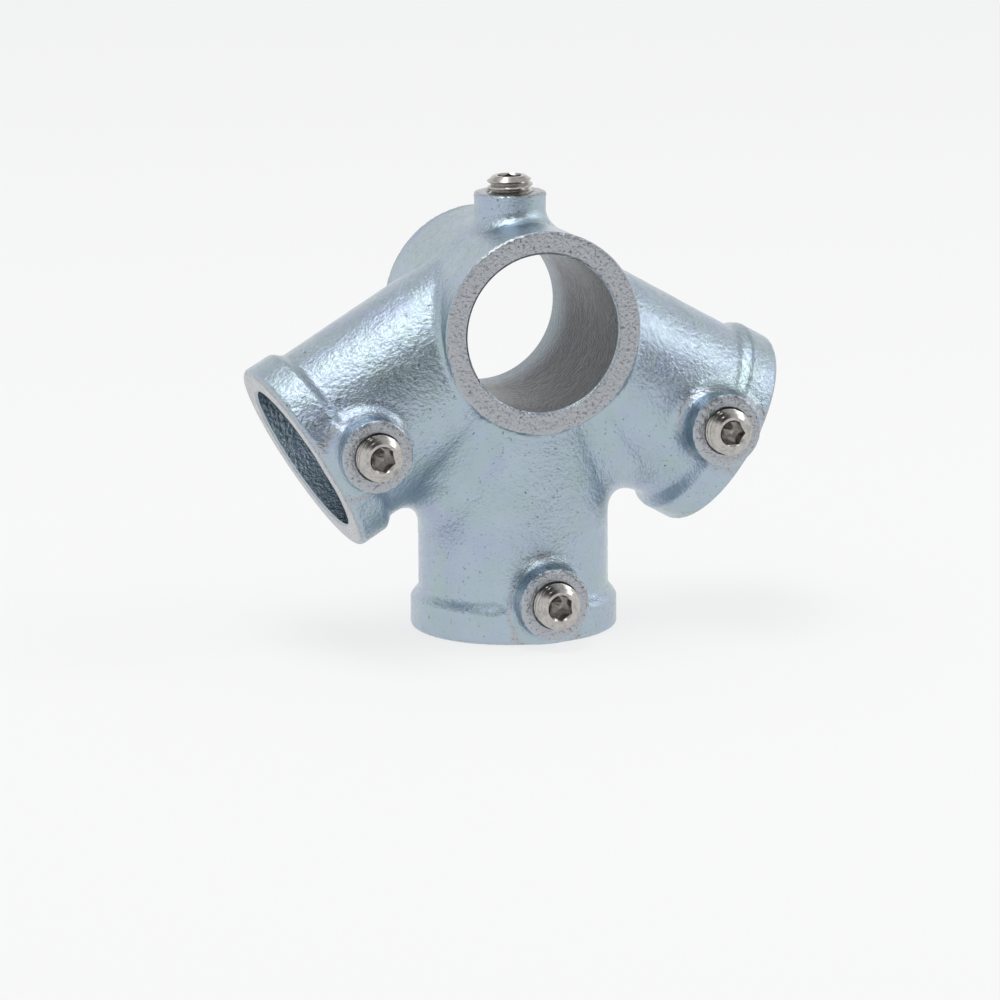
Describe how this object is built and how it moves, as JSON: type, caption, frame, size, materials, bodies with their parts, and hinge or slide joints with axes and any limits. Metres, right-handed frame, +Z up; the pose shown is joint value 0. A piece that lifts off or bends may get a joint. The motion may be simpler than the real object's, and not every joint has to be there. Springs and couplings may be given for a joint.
{
  "type": "four-way roof ridge tube clamp fitting",
  "caption": "Cast fitting that clamps a through ridge tube, two sloping rafter tubes and an upright with set screws, for tube roof frames.",
  "frame": {"origin": "where the axes of the four tubes meet, at the middle of the ridge bore", "axes": "+Z up, Y along the ridge bore, the two rafter sockets slope down to -X and +X, the leg socket points to -Z, the socket screws face -Y"},
  "size_m": [0.1188, 0.0545, 0.1002],
  "materials": {
    "zinc_casting": "blue-bright zinc plate over a grainy sand-cast skin",
    "bright_screw": "bright nickel plate"
  },
  "bodies": {
    "root": {"fitting_casting": "zinc_casting", "ridge_set_screw": "bright_screw", "left_rafter_set_screw": "bright_screw", "right_rafter_set_screw": "bright_screw", "leg_set_screw": "bright_screw"}
  },
  "joints": []
}
